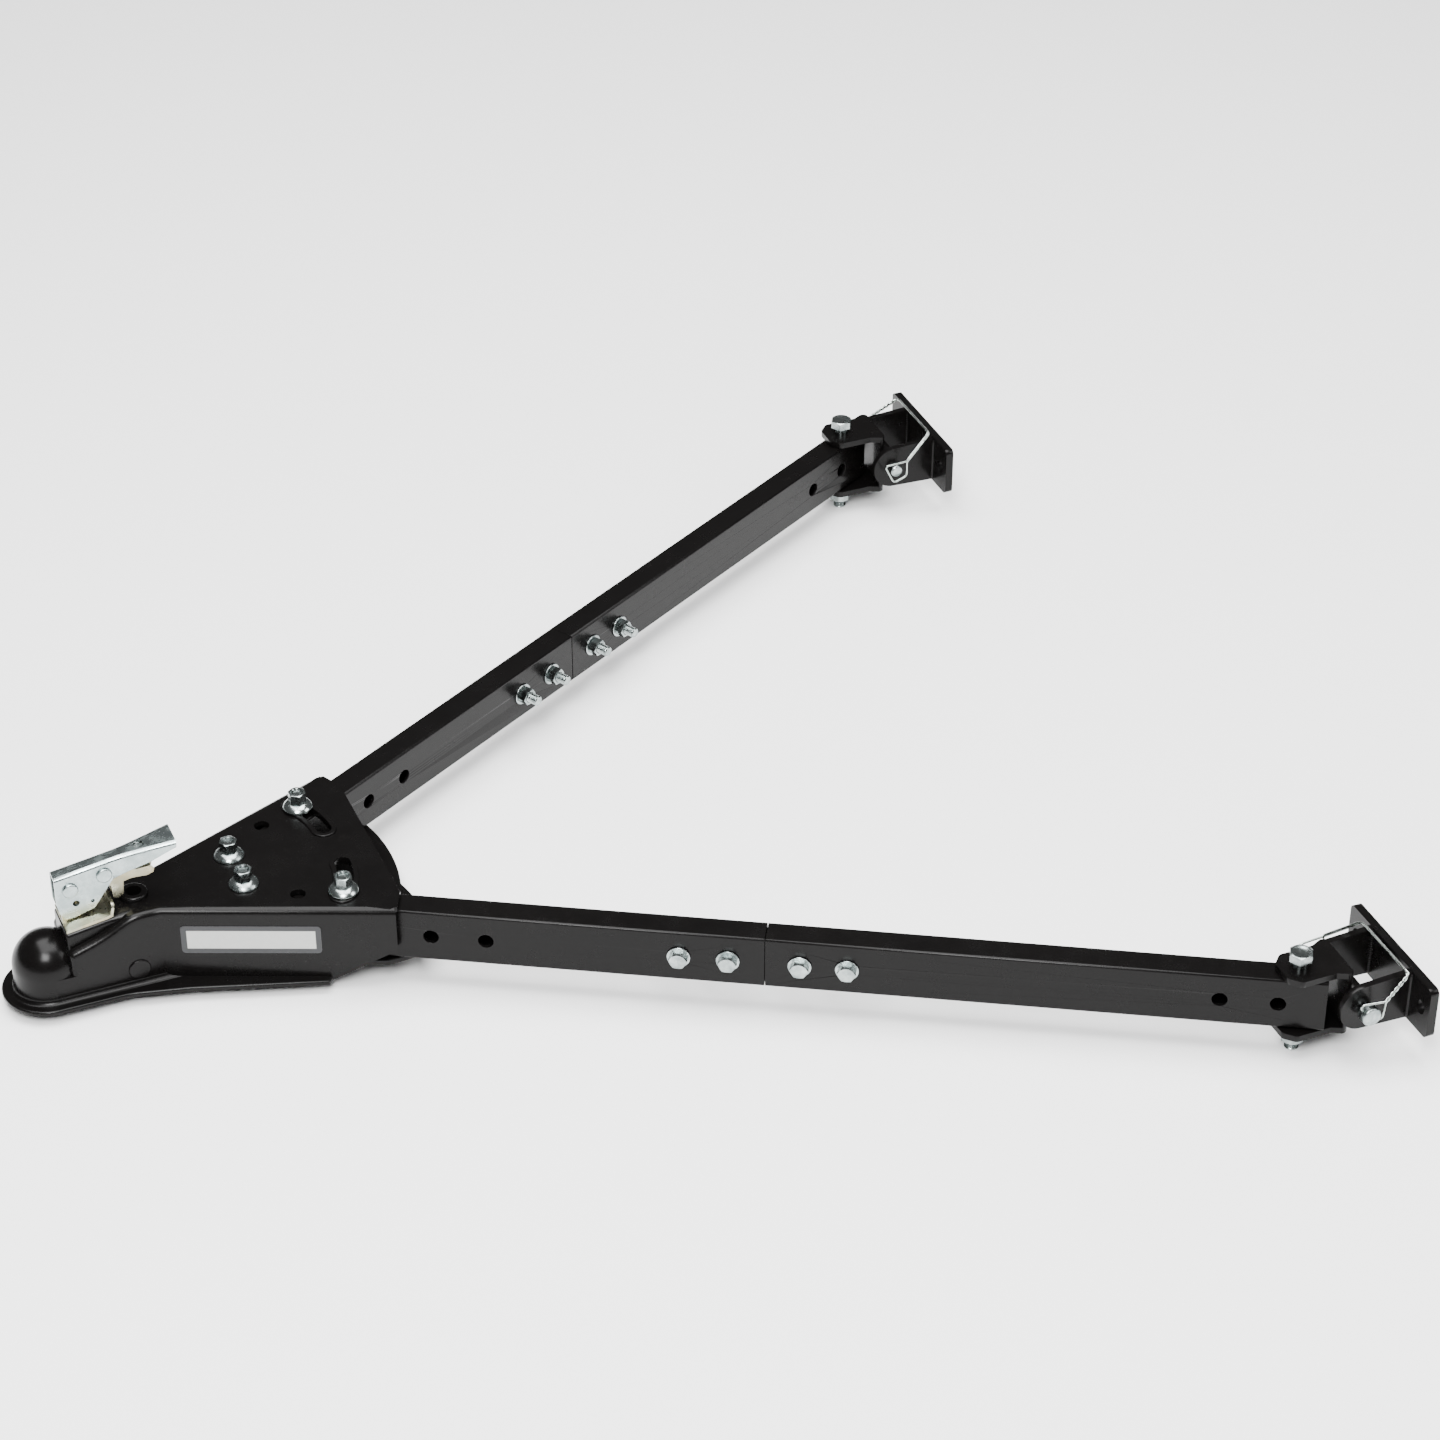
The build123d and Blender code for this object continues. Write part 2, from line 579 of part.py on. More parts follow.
def yoke():
    """Two ears over and under the arm, a web, and the barrel that the hitch pin runs in."""
    ear_z = TUBE_H / 2 + PLATE_GAP
    ear = [(-8.5, EAR_HALF), (-17.5, 11.0), (-17.5, -11.0), (-8.5, -EAR_HALF),
           (24.0, -EAR_HALF), (WEB_X, -WEB_HALF), (WEB_X + WEB_T, -WEB_HALF),
           (WEB_X + WEB_T, WEB_HALF), (WEB_X, WEB_HALF), (24.0, EAR_HALF)]
    body = block((WEB_X, WEB_X + WEB_T), (-WEB_HALF, WEB_HALF), (-ear_z - EAR_T, ear_z + EAR_T))
    body = fillet(body.edges().filter_by(Axis.Z).group_by(Axis.X)[-1], WEB_CORNER_R)
    for z in (ear_z, -ear_z - EAR_T):
        plate = prism_z(ear, z, z + EAR_T)
        plate = fillet(plate.edges().filter_by(Axis.Z).group_by(Axis.X)[-1], WEB_CORNER_R)
        nose = plate.edges().filter_by(Axis.Z).filter_by(lambda e: e.center().X < 0)
        body += fillet(nose, 6.0)
    body += rod_y(BARREL_R, -CHEEK_IN + 0.5, CHEEK_IN - 0.5, PIN_X)
    body -= rod_y(PIN_R + RUNNING, -40, 40, PIN_X)
    body -= rod_z(BIG_BOLT_R + RUNNING, -60, 60)
    return one(body)


def mount_bracket():
    """Base plate with two cheeks that carry the hitch pin."""
    base = block((BASE_X, BASE_X + BASE_T), (-BASE_LENGTH / 2, BASE_LENGTH / 2), (-TUBE_H / 2, TUBE_H / 2))
    base = fillet(base.edges().filter_by(Axis.X), 5.0)
    for side in SIDES.values():
        low, high = sorted((side * CHEEK_IN, side * (CHEEK_IN + CHEEK_T)))
        base += rod_y(CHEEK_R, low, high, PIN_X)
        web = [(PIN_X, CHEEK_R), (BASE_X, CHEEK_R + 2), (BASE_X, -CHEEK_R - 2), (PIN_X, -CHEEK_R)]
        base += prism_y(web, low, high)
        base -= Pos(BASE_X, side * BASE_HOLE_SPACING / 2, 0) * Rot(0, 90, 0) * Cylinder(BASE_HOLE_R, 40)
    base -= rod_y(PIN_R + RUNNING, -60, 60, PIN_X)
    return one(base)


def hitch_pin(side):
    """Headed pin along Y, its head outside, cross-drilled for the clip."""
    head_out, head_in = PIN_HEAD
    pin = rod_y(PIN_R, head_in, PIN_TAIL, PIN_X)
    pin = chamfer(pin.edges().filter_by(GeomType.CIRCLE).sort_by(Axis.Y)[-1], 1.2)
    head = rod_y(PIN_HEAD_R, head_out, head_in, PIN_X)
    head = fillet(head.edges().filter_by(GeomType.CIRCLE).sort_by(Axis.Y)[0], 1.4)
    pin += head
    middle = Pos(PIN_X, (head_out + head_in) / 2, 0)
    pin = one(pin - middle * Rot(0, 180 - CLIP_SET[side][0], 0) * Cylinder(CLIP_WIRE_R + 0.25, 40))
    return pin if side < 0 else mirror(pin, Plane.XZ)


def wire(points, radius):
    """Straight round runs through the points, with ball corners."""
    body = None
    for a, b in zip(points, points[1:]):
        a, b = Vector(*a), Vector(*b)
        run = b - a
        piece = Plane(origin=(a + b) / 2, z_dir=run).location * Cylinder(radius, run.length)
        body = piece if body is None else body + piece
        body += Pos(*b) * Sphere(radius)
    return body


def wire_clip(side):
    """Doubled wire: two legs hooked in the pin's head, a strand over the cheeks, a loop round the tail."""
    tilt, reach, over_head, over_tail = CLIP_SET[side]
    up = Vector(cos(radians(tilt)), 0, sin(radians(tilt)))
    along = Vector(sin(radians(tilt)), 0, -cos(radians(tilt)))
    head_y = sum(PIN_HEAD) / 2
    tail_y = PIN_TAIL + CLIP_GAP

    def at(u, v, y):
        return tuple(Vector(PIN_X, y, 0) + up * u + along * v)

    knot = at(18, 0, head_y - 4)
    fork = at(*CLIP_LOOP[0], tail_y)
    clip = wire([knot, at(reach, 0, -over_head), at(reach, 0, over_tail), fork], CLIP_STRAND_R)
    for end in (-1, 1):
        leg = [(3.5, CLIP_LEG), (0, CLIP_LEG - 2), (0, 5.5)]
        clip += wire([knot] + [at(u, end * v, head_y) for u, v in leg], CLIP_WIRE_R)
    clip += wire([at(u, v, tail_y) for u, v in CLIP_LOOP + CLIP_LOOP[:1]], CLIP_WIRE_R)
    clip = one(clip)
    return clip if side < 0 else mirror(clip, Plane.XZ)


def clevis_stack():
    """Bolt through the yoke and the arm, with a washer and nut below: the three pieces."""
    ear = TUBE_H / 2 + PLATE_GAP + EAR_T
    seat = ear + CLEVIS_STANDOUT
    end = LOWEST_Z
    low = -ear - BIG_WASHER_T
    return (
        Pos(0, 0, seat) * bolt(BIG_BOLT_R, BIG_AF, BIG_HEAD_H, seat - end),
        Pos(0, 0, -ear - BIG_WASHER_T) * washer(BIG_WASHER_R, BIG_BOLT_R + FREE, BIG_WASHER_T),
        Pos(0, 0, low) * Rot(180, 0, 0) * nut(BIG_BOLT_R, BIG_AF, CLEVIS_NUT_H),
    )


def side_labels():
    """Thin blank plates on the flared walls."""
    plates = []
    length, height, thickness = 121.0, 29.0, 0.5
    for side in SIDES.values():
        x = -7.0
        place = Pos(x, side * flare_half(x), 0.5) * Rot(0, 0, side * FLARE)
        plate = place * Pos(0, side * thickness / 2, 0) * Box(length, thickness, height)
        plates.append(one(fillet(plate.edges().filter_by(
            lambda e: e.length < 1), 3.5)))
    return plates


# ---------------------------------------------------------------- writing the nodes

def write_head():
    save("coupler_shell", coupler_shell())
    save("head_floor_plate", head_floor())
    save("side_labels", *side_labels())
    save("latch_bracket", latch_bracket())
    save("latch_lever", latch_lever())
    save("lever_rivet", rivet(LEVER_PIVOT, LEVER_HALF))
    save("latch_trigger", latch_trigger())
    save("trigger_rivet", rivet(TRIGGER_PIVOT, LEVER_HALF))
    x, z = TRIGGER_PIVOT
    save("trigger_spring", one(rod_y(6.0, -SPRING_HALF, SPRING_HALF, x, z) - rod_y(4.6, -6, 6, x, z)))
    save("clamp_stud", clamp_stud())
    save("ball_clamp", ball_clamp())
    save("clamp_pivot_pin", clamp_pin())
    stacks = [[Pos(0, s * PIVOT_HALF, 0) * piece for piece in head_stack(TOP_Z, FLOOR_Z - FLOOR_T)]
              for s in SIDES.values()]
    names = ("pivot_bolts", "pivot_domed_washers", "pivot_nuts", "pivot_washers")
    for name, pieces in zip(names, zip(*stacks)):
        save(name, *pieces)


def write_arm(word, side):
    arm = arm_place(side)
    save(f"{word}_front_tube", arm * front_tube())
    save(f"{word}_rear_tube", arm * rear_tube())
    save(f"{word}_splice_sleeve", arm * splice_sleeve())
    stacks = [[arm * piece for piece in splice_stack(side, x)] for x in SPLICE_BOLTS]
    bolts, outer, inner, nuts = zip(*stacks)
    save(f"{word}_splice_bolts", *bolts)
    save(f"{word}_splice_washers", *outer, *inner)
    save(f"{word}_splice_nuts", *nuts)
    slot = [arm * Pos(SLOT_RADIUS, 0, 0) * piece for piece in head_stack(TOP_Z + RIM_H, FLOOR_Z - FLOOR_T)]
    for kind, piece in zip(("bolt", "domed_washer", "nut", "washer"), slot):
        save(f"{word}_slot_{kind}", piece)


def write_bracket(word, side):
    place = bracket_place(side)
    for kind, piece in zip(("bolt", "washer", "nut"), clevis_stack()):
        save(f"{word}_clevis_{kind}", place * piece)
    save(f"{word}_yoke", place * yoke())
    save(f"{word}_mount_bracket", place * mount_bracket())
    save(f"{word}_hitch_pin", place * hitch_pin(side))
    save(f"{word}_wire_clip", place * wire_clip(side))


os.makedirs("parts", exist_ok=True)
write_head()
for word, side in SIDES.items():
    write_arm(word, side)
    write_bracket(word, side)
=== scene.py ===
import json
from math import cos, floor, pi, radians, sin, tau

import bmesh
import bpy
from mathutils import Matrix, Vector


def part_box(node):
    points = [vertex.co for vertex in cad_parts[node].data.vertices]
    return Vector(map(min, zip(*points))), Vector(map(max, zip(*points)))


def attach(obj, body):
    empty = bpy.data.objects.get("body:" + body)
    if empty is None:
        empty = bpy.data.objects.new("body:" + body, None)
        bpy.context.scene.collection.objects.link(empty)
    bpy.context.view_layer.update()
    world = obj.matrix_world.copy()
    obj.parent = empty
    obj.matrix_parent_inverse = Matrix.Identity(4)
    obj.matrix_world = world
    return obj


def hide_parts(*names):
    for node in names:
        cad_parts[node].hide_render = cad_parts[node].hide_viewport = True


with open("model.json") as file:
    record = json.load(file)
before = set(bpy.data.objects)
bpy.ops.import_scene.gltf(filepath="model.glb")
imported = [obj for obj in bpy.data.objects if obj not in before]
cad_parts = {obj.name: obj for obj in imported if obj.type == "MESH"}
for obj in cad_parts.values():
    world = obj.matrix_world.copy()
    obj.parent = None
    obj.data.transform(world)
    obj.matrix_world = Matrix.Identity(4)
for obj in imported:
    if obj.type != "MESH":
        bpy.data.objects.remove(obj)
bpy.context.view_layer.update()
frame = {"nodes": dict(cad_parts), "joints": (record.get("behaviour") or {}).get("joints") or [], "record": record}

MM = 0.001
SIDES = {"left": -1, "right": 1}

# Fasteners, in metres: thread pitch, width across flats, head height and thread radius.
SMALL = {"pitch": 1.59 * MM, "flats": 14.3 * MM, "head": 6.2 * MM, "radius": 4.76 * MM}
LARGE = {"pitch": 1.95 * MM, "flats": 19.0 * MM, "head": 8.0 * MM, "radius": 6.35 * MM}
STUD = {"pitch": 1.27 * MM, "flats": 11.1 * MM, "radius": 3.175 * MM}
THREAD_DEPTH = 0.62  # share of the pitch
THREAD_STEPS = 6  # rings in one pitch
ROUND = 48  # points round a fastener
HEX_FACE = 0.96  # a hexagon's flat end, as a share of its width across flats
HEX_CORNER = 1.147  # the reach of its corners, the same way
CHAMFER = 0.55  # slope of a turned end
PLAIN_END = 0.12  # slope of an end that isn't turned
SPLICE_THREAD = 0.034  # threaded lengths, from the tip
DECK_THREAD = 0.030
CLEVIS_THREAD = 0.032
CLEVIS_DISH = 0.0004  # hollow in the head of a clevis bolt
NUT_SINK = 0.0009  # depth of a nut's countersinks
STUD_END = 0.0135  # clamp stud above the seat of its nut
STUD_NUT = 0.0084  # height of that nut

# Trigger spring, in metres.
SPRING_WIRE = 0.0006
SPRING_COIL = 0.0049
SPRING_TURNS = 4

# Weld beads, in metres: those at both faces of each cheek, then those along the yoke's barrel.
BEAD_STEP = 0.0006
CHEEK_BEAD = 0.0024
CHEEK_FACE = 0.008  # from the base plate's outer face
CHEEK_OFFSETS = (-0.035, -0.029, 0.029, 0.035)
CHEEK_END = 0.0025  # bead's end from the plate's edge
BARREL_BEAD = 0.0018
BARREL_BACK, BARREL_UP, BARREL_HALF = 0.0045, 0.0100, 0.022

# Wire clip, in millimetres from the pin's head, with the shape of its CAD node.
WIRE_R = 0.95
WIRE_BEND = 4.5
LEG_BEND = 2.5
LOOP_BEND = 4.0
SMOOTHING = 0.8
CLIP_LEG = [(0, 5.5), (0, 12.5), (3.5, 14.5)]
CLIP_LOOP = [(16.0, -3.0), (-3.0, -20.0), (-11.0, 3.0), (3.0, 9.5), (16.0, -3.0)]
CLIP_TAIL = 93.1
CLIP_SET = {"left": (48.0, -3.0, 74.0), "right": (51.0, 10.0, 86.0)}  # reach, first corner, second corner
CLIP_START = (18.0, 0.0, -4.0)
TWIST_UNTIL = 0.24  # share of the strand's length where its twist ends
TWIST_PITCH = 11.0
WIRE_STEP = 0.0006  # distance between a wire's rings, in metres

# Side labels: slope of the head's walls in degrees, half sizes of the pale field and its soft edge in metres.
LABEL_SLOPE = 22.8
LABEL_FIELD = (0.0555, 0.0095)
LABEL_SOFT = 0.0003

# Camera: the view that the whole bar is seen from.
CAMERA_AT = Vector((-0.9563, -2.5889, 2.0973))
CAMERA_AZIMUTH = -22.59
CAMERA_ELEVATION = 35.15
CAMERA_LENS = 95.1

JOINTS = {j["name"]: j for j in frame["joints"]}
NODES = frame["nodes"]
SLOTS = {p["node"]: p["material_slot"] for p in frame["record"]["subparts"]}
UP = Vector((0, 0, 1))


def joint_at(name):
    return Vector(JOINTS[name]["pos_m"])


def joint_axis(name):
    return Vector(JOINTS[name]["axis"]).normalized()


# ---------------------------------------------------------------- material nodes

class Tree:
    """A small helper for building one procedural material."""

    def __init__(self, name):
        self.material = bpy.data.materials.new(name)
        self.material.use_nodes = True
        self.nodes = self.material.node_tree.nodes
        self.links = self.material.node_tree.links
        self.shader = self.nodes["Principled BSDF"]
        self.coords = self.nodes.new("ShaderNodeTexCoord").outputs["Object"]

    def noise(self, scale, detail=4.0, rough=0.5, coords=None):
        node = self.nodes.new("ShaderNodeTexNoise")
        node.inputs["Scale"].default_value = scale
        node.inputs["Detail"].default_value = detail
        node.inputs["Roughness"].default_value = rough
        self.links.new(coords or self.coords, node.inputs["Vector"])
        return node.outputs["Fac"]

    def voronoi(self, scale, output="Distance"):
        node = self.nodes.new("ShaderNodeTexVoronoi")
        node.inputs["Scale"].default_value = scale
        self.links.new(self.coords, node.inputs["Vector"])
        return node.outputs[output]

    def stretched(self, scale):
        node = self.nodes.new("ShaderNodeMapping")
        node.inputs["Scale"].default_value = scale
        self.links.new(self.coords, node.inputs["Vector"])
        return node.outputs["Vector"]

    def remap(self, value, low, high, to_low=0.0, to_high=1.0):
        node = self.nodes.new("ShaderNodeMapRange")
        self.links.new(value, node.inputs["Value"])
        for key, number in zip(("From Min", "From Max", "To Min", "To Max"), (low, high, to_low, to_high)):
            node.inputs[key].default_value = number
        return node.outputs["Result"]

    def math(self, operation, a, b=0.0):
        node = self.nodes.new("ShaderNodeMath")
        node.operation = operation
        for socket, value in zip(node.inputs, (a, b)):
            if isinstance(value, (int, float)):
                socket.default_value = value
            else:
                self.links.new(value, socket)
        return node.outputs["Value"]

    def mix(self, factor, a, b):
        node = self.nodes.new("ShaderNodeMix")
        node.data_type = "RGBA"
        self.links.new(factor, node.inputs[0])
        for index, value in ((6, a), (7, b)):
            if isinstance(value, tuple):
                node.inputs[index].default_value = (*value, 1)
            else:
                self.links.new(value, node.inputs[index])
        return node.outputs[2]

    def bump(self, height, strength, distance, below=None):
        node = self.nodes.new("ShaderNodeBump")
        node.inputs["Strength"].default_value = strength
        node.inputs["Distance"].default_value = distance
        self.links.new(height, node.inputs["Height"])
        if below is not None:
            self.links.new(below, node.inputs["Normal"])
        return node.outputs["Normal"]

    def axes(self):
        node = self.nodes.new("ShaderNodeSeparateXYZ")
        self.links.new(self.coords, node.inputs["Vector"])
        return [node.outputs[k] for k in "XYZ"]

    def set(self, **values):
        for key, value in values.items():
            socket = self.shader.inputs[key.replace("_", " ")]
            if isinstance(value, bpy.types.NodeSocket):
                self.links.new(value, socket)
            else:
                socket.default_value = value
        return self.material


def powder_coat():
    """Semi-gloss black powder coat: orange peel, changes of gloss, fine dust and a few rubbed patches."""
    t = Tree("powder_coat")
    base = t.mix(t.noise(9, 5.0, 0.6), (0.0018, 0.0016, 0.0016), (0.0034, 0.0031, 0.0030))
    dust = t.math("MULTIPLY", t.remap(t.voronoi(520), 0.0, 0.08, 1.0, 0.0), t.remap(t.noise(24), 0.45, 0.7))
    base = t.mix(t.math("MULTIPLY", dust, 0.22), base, (0.04, 0.037, 0.035))
    rubbed = t.remap(t.noise(30, 8.0, 0.7), 0.60, 0.76, 0.0, 0.22)
    base = t.mix(rubbed, base, (0.013, 0.012, 0.0115))
    gloss = t.remap(t.noise(38, 6.0, 0.65), 0.3, 0.7, 0.20, 0.30)
    rough = t.math("ADD", gloss, t.math("MULTIPLY", rubbed, 0.25))
    normal = t.bump(t.noise(3200, 2.0), 0.03, 0.00008, t.bump(t.noise(850, 2.0, 0.4), 0.06, 0.0002))
    return t.set(Base_Color=base, Roughness=rough, Normal=normal, Specular_IOR_Level=0.13)


def plated(name, light, dark, rough, brushed=(60, 60, 60), tint=None):
    """Plated steel: crystalline mottling, drawn marks, dulled patches and, where given, a tint."""
    t = Tree(name)
    mottling = t.noise(260, 6.0, 0.6)
    patches = t.remap(t.noise(70, 5.0, 0.62), 0.38, 0.62)
    crystal = t.nodes.new("ShaderNodeRGBToBW")
    t.links.new(t.voronoi(900, "Color"), crystal.inputs["Color"])
    marks = t.noise(14, 4.0, 0.6, t.stretched(brushed))
    base = t.mix(t.math("MULTIPLY", patches, 0.75), light, dark)
    base = t.mix(t.math("MULTIPLY", t.remap(mottling, 0.35, 0.65), 0.4), base, dark)
    base = t.mix(t.math("MULTIPLY", crystal.outputs["Val"], 0.16), base, dark)
    if tint:
        base = t.mix(t.remap(t.noise(34, 4.0, 0.6), 0.4, 0.66, 0.0, 0.65), base, tint)
    rough = t.math("ADD", t.remap(patches, 0, 1, *rough), t.remap(marks, 0.35, 0.65, -0.03, 0.05))
    normal = t.bump(marks, 0.12, 0.00012, t.bump(mottling, 0.10, 0.0001))
    return t.set(Base_Color=base, Metallic=1.0, Roughness=rough, Normal=normal)


def cast_steel():
    """Dull grained steel."""
    t = Tree("cast_steel")
    grain = t.noise(420, 5.0, 0.6)
    base = t.mix(t.noise(60, 4.0), (0.05, 0.05, 0.052), (0.11, 0.105, 0.1))
    return t.set(Base_Color=base, Metallic=0.7, Roughness=t.remap(grain, 0.3, 0.7, 0.45, 0.65),
                 Normal=t.bump(grain, 0.5, 0.0004))


def label():
    """Blank plate: an even pale field with a thin grey border."""
    t = Tree("label")
    low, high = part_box("side_labels")
    mid = (low + high) / 2
    slope = radians(LABEL_SLOPE)
    x, y, z = t.axes()
    wall_y = high.y - (high.x - mid.x) * sin(slope) / cos(slope)
    along = t.math("ADD", t.math("MULTIPLY", t.math("SUBTRACT", x, mid.x), cos(slope)),
                   t.math("MULTIPLY", t.math("SUBTRACT", t.math("ABSOLUTE", y), wall_y), sin(slope)))
    up = t.math("SUBTRACT", z, mid.z)

    def within(distance, half):
        """1 less than half away from the middle, with a soft edge."""
        return t.remap(t.math("ABSOLUTE", distance), half - LABEL_SOFT, half + LABEL_SOFT, 1.0, 0.0)

    field = t.math("MULTIPLY", within(along, LABEL_FIELD[0]), within(up, LABEL_FIELD[1]))
    paper = t.mix(t.noise(240, 3.0), (0.40, 0.41, 0.40), (0.47, 0.47, 0.45))
    base = t.mix(field, (0.035, 0.036, 0.038), paper)
    rough = t.remap(t.noise(120, 4.0), 0.3, 0.7, 0.28, 0.42)
    normal = t.bump(t.noise(500, 3.0), 0.06, 0.0001)
    return t.set(Base_Color=base, Roughness=rough, Specular_IOR_Level=0.2, Normal=normal)


MATERIALS = {
    "powder_coat": powder_coat(),
    "zinc": plated("zinc", (0.46, 0.50, 0.49), (0.17, 0.20, 0.20), (0.14, 0.30)),
    "latch_zinc": plated("latch_zinc", (0.44, 0.50, 0.50), (0.28, 0.33, 0.33), (0.18, 0.32), (6, 90, 90)),
    "yellow_zinc": plated("yellow_zinc", (0.42, 0.42, 0.33), (0.26, 0.25, 0.18), (0.24, 0.38), (40, 40, 40),
                          (0.40, 0.32, 0.18)),
    "spring_steel": plated("spring_steel", (0.52, 0.56, 0.53), (0.28, 0.32, 0.30), (0.16, 0.3), (90, 90, 8)),
    "cast_steel": cast_steel(),
    "label": label(),
}


# ---------------------------------------------------------------- new pieces

def piece(name, rings, body, slot, replaced=(), closed=False, sharp=35):
    """A mesh skinned over rings of points, with capped ends unless it closes on itself."""
    count = len(rings[0])
    verts = [p for ring in rings for p in ring]
    faces = []
    last = len(rings) if closed else len(rings) - 1
    for i in range(last):
        a, b = i * count, (i + 1) % len(rings) * count
        faces += [(a + j, a + (j + 1) % count, b + (j + 1) % count, b + j) for j in range(count)]
    if not closed:
        faces += [tuple(reversed(range(count))), tuple(range(len(verts) - count, len(verts)))]
    finished(name, verts, faces, body, slot, replaced, sharp)


def finished(name, verts, faces, body, slot, replaced, sharp):
    """The mesh as an object that rides on its body."""
    mesh = bpy.data.meshes.new(name)
    mesh.from_pydata([tuple(v) for v in verts], [], faces)
    mesh.validate()
    face_outwards(mesh)
    mesh.shade_smooth()
    mesh.set_sharp_from_angle(angle=radians(sharp))
    mesh.materials.append(MATERIALS[slot])
    obj = bpy.data.objects.new(name, mesh)
    bpy.context.scene.collection.objects.link(obj)
    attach(obj, body)
    if replaced:
        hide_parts(*replaced)


def face_outwards(mesh):
    work = bmesh.new()
    work.from_mesh(mesh)
    bmesh.ops.recalc_face_normals(work, faces=work.faces)
    work.to_mesh(mesh)
    work.free()


def islands(node):
    """The separate solids of a CAD node, as lists of points."""
    mesh = NODES[node].data
    keys = [tuple(round(c, 5) for c in v.co) for v in mesh.vertices]
    root = {k: k for k in keys}

    def find(k):
        while root[k] != k:
            root[k] = root[root[k]]
            k = root[k]
        return k

    for polygon in mesh.polygons:
        first = find(keys[polygon.vertices[0]])
        for index in polygon.vertices[1:]:
            root[find(keys[index])] = first
    groups = {}
    for k in root:
        groups.setdefault(find(k), []).append(Vector(k))
    return list(groups.values())


def seat(points, axis):
    """Where a turned solid lies: a matrix whose Z is the axis and X a hexagon's corner, and its length."""
    axis = axis.normalized()
    side = axis.orthogonal().normalized()
    other = axis.cross(side)
    u, v, w = ([p.dot(d) for p in points] for d in (side, other, axis))
    centre = side * (min(u) + max(u)) / 2 + other * (min(v) + max(v)) / 2
    corner = max(points, key=lambda p: (p - centre - axis * p.dot(axis)).length)
    x = corner - centre - axis * corner.dot(axis)
    x.normalize()
    y = axis.cross(x)
    place = Matrix((x, y, axis)).transposed().to_4x4()
    place.translation = centre + axis * min(w)
    return place, max(w) - min(w)


def hexagon_radius(angle, flats):
    """Distance from the axis to a hexagon's side, with slightly rounded corners."""
    off = (angle % (pi / 3)) - pi / 6
    return min(flats / 2 / cos(off), flats / 2 * HEX_CORNER)


def hex_rings(flats, low, high, chamfer_low, chamfer_high):
    """Rings of a hexagon between two heights, its ends turned to a cone where asked."""
    angles = [tau * i / ROUND for i in range(ROUND)]
    face = flats / 2 * HEX_FACE
    rings = []
    for height, inwards, chamfer in ((low, 1, chamfer_low), (high, -1, chamfer_high)):
        side = [(hexagon_radius(a, flats), a) for a in angles]
        slope = inwards * (CHAMFER if chamfer else PLAIN_END)
        rim = [(r * cos(a), r * sin(a), height + max(r - face, 0) * slope) for r, a in side]
        flat = [(face * cos(a), face * sin(a), height) for a in angles]
        rings += [flat, rim] if inwards > 0 else [rim, flat]
    return rings


def circle(radius, height):
    return [(radius * cos(tau * i / ROUND), radius * sin(tau * i / ROUND), height) for i in range(ROUND)]


def thread_rings(radius, pitch, low, high, inward=False):
    """Rings of a helical V thread from low to high, running out at both ends."""
    steps = max(2, int((high - low) / pitch * THREAD_STEPS))
    depth = pitch * THREAD_DEPTH
    rings = []
    for k in range(steps + 1):
        z = low + (high - low) * k / steps
        fade = min(1.0, (z - low) / pitch + 0.05, (high - z) / pitch + 0.05)
        ring = []
        for i in range(ROUND):
            angle = tau * i / ROUND
            turn = z / pitch - i / ROUND
            wave = abs(2 * (turn - floor(turn)) - 1)
            cut = depth * min(1.0, max(0.0, 1.3 * wave - 0.15)) * fade
            r = radius + cut if inward else radius - cut
            ring.append((r * cos(angle), r * sin(angle), z))
        rings.append(ring)
    return rings


def bolt_rings(length, form, thread, dish=0.0):
    """A bolt along +Z with its tip at 0 and its head on top."""
    radius, flats = form["radius"], form["flats"]
    under = length - form["head"]
    tip = radius * 0.16
    end = min(thread, under - 0.0005)
    rings = [circle(radius * 0.7, 0), circle(radius - tip, 0)]
    rings += thread_rings(radius, form["pitch"], tip, end)
    rings += [circle(radius, end + 0.0003), circle(radius, under)]
    rings += hex_rings(flats, under, length, False, True)
    rings += [circle(flats / 2 * 0.72, length), circle(flats / 2 * 0.62, length - dish)]
    rings += [circle(flats * 0.1, length - dish)]
    return rings


def nut_rings(length, form):
    """A nut along +Z, chamfered at both ends, with a countersunk threaded bore."""
    radius = form["radius"] * 1.01
    mouth = radius * 1.14
    bore = thread_rings(radius, form["pitch"], NUT_SINK, length - NUT_SINK, inward=True)
    rings = hex_rings(form["flats"], 0, length, True, True)
    return rings + [circle(mouth, length)] + bore[::-1] + [circle(mouth, 0)]


def placed(rings, place):
    return [[place @ Vector(p) for p in ring] for ring in rings]


def body_of(node):
    bodies = frame["record"]["behaviour"]["bodies"]
    return next(name for name, nodes in bodies.items() if node in nodes)


def rebuild(node, axis, make, closed=False):
    """Replace each solid of a fastener node by a detailed one in the same place."""
    for index, points in enumerate(islands(node)):
        place, length = seat(points, axis)
        rings = placed(make(length), place)
        piece(f"{node}_{index + 1}", rings, body_of(node), SLOTS[node], [node], closed, 28)


